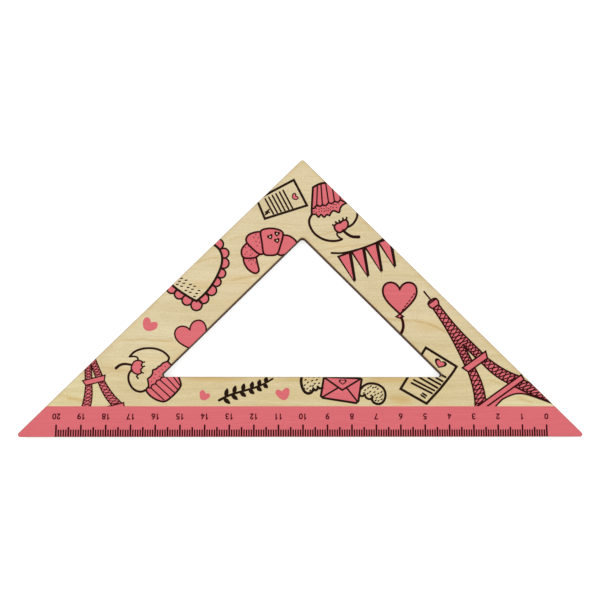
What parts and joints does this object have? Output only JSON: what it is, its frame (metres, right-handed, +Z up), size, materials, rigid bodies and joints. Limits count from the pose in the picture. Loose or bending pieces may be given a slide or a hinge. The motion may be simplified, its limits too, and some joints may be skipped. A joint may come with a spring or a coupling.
{
  "type": "set square",
  "caption": "Flat plywood 45-45-90 set square with a triangular window, a pink centimetre scale band along the long edge and small pink and black printed pictures.",
  "frame": {"origin": "centre of the bounding box on the back face, so the sheet lies on its back with z = 0 at the table", "axes": "+X along the graduated long edge, towards the zero graduation; +Y in the sheet, towards the right-angled corner, with the graduated edge on the -Y side; +Z up out of the printed face"},
  "size_m": [0.23, 0.116, 0.003],
  "materials": {
    "face_veneer": "bare sanded light veneer with a fine grain along X",
    "core_veneer": "bare cross-grained veneer, scorched brown on the cut edges",
    "glue": "cured brown adhesive",
    "pink_ink": "matte cured printing ink",
    "black_ink": "matte cured printing ink"
  },
  "bodies": {
    "root": {"back_face_ply": "face_veneer", "back_glue_line": "glue", "core_ply": "core_veneer", "front_glue_line": "glue", "front_face_ply": "face_veneer", "scale_band_ink": "pink_ink", "note_heart": "pink_ink", "cupcake_a_pink": "pink_ink", "croissant_pink": "pink_ink", "lace_heart_pink": "pink_ink", "heart_pink": "pink_ink", "small_heart_a": "pink_ink", "small_heart_b": "pink_ink", "small_heart_c": "pink_ink", "cupcake_b_pink": "pink_ink", "tower_a_pink": "pink_ink", "envelope_pink": "pink_ink", "letter_heart": "pink_ink", "tower_b_pink": "pink_ink", "balloon_pink": "pink_ink", "pennants_pink": "pink_ink", "graduations_ink": "black_ink", "numerals_ink": "black_ink", "note_lines": "black_ink", "cupcake_a_lines": "black_ink", "croissant_lines": "black_ink", "lace_heart_lines": "black_ink", "heart_lines": "black_ink", "cupcake_b_lines": "black_ink", "tower_a_lines": "black_ink", "sprig_lines": "black_ink", "envelope_lines": "black_ink", "letter_lines": "black_ink", "tower_b_lines": "black_ink", "balloon_lines": "black_ink", "pennants_lines": "black_ink"}
  },
  "joints": []
}
